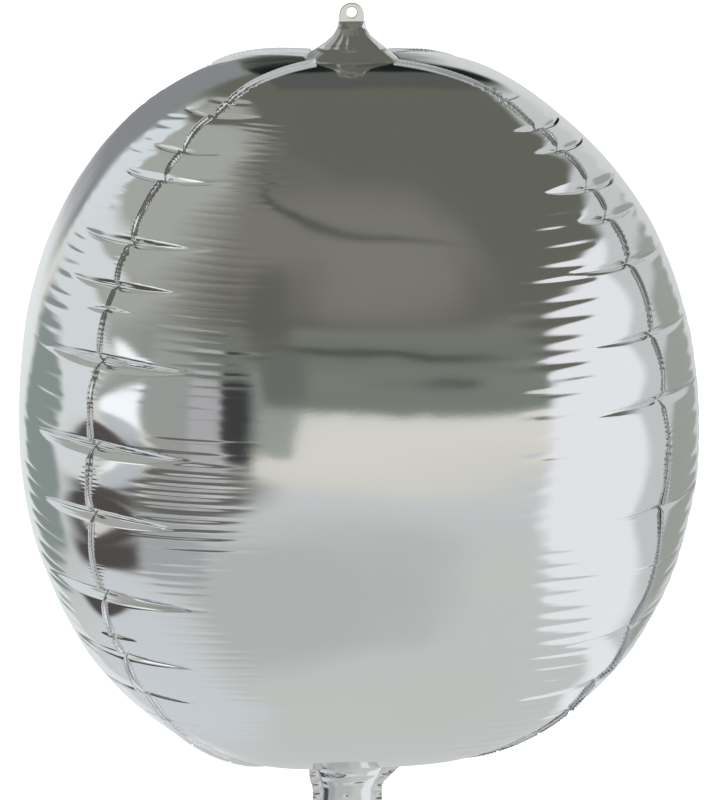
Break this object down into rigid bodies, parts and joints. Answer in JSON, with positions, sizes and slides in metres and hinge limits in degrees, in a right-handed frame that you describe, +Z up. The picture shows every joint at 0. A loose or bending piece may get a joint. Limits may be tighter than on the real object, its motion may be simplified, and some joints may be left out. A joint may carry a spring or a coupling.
{
  "type": "foil sphere balloon",
  "caption": "Inflated mirror-silver foil sphere balloon of sealed gores, with a punched hang tab on top and a flat inflation neck below.",
  "frame": {"origin": "centre of the punched hole in the hang tab, from which the balloon hangs", "axes": "+Z up along the balloon's axis, -Y out of the front gore, +X to the right seen from the front"},
  "size_m": [0.3838, 0.3839, 0.5194],
  "materials": {
    "foil": "mirror-like metallised film",
    "seal": "metallised film, crimped by the heat seal",
    "valve": "clear thin polyethylene film"
  },
  "bodies": {
    "root": {"gore_front": "foil", "gore_right": "foil", "gore_back": "foil", "gore_left": "foil", "seam_front_right": "seal", "seam_back_right": "seal", "seam_back_left": "seal", "seam_front_left": "seal", "hang_tab": "foil", "neck_front_ply": "foil", "neck_back_ply": "foil", "neck_seal_right": "seal", "neck_seal_left": "seal", "valve_film": "valve"}
  },
  "joints": []
}
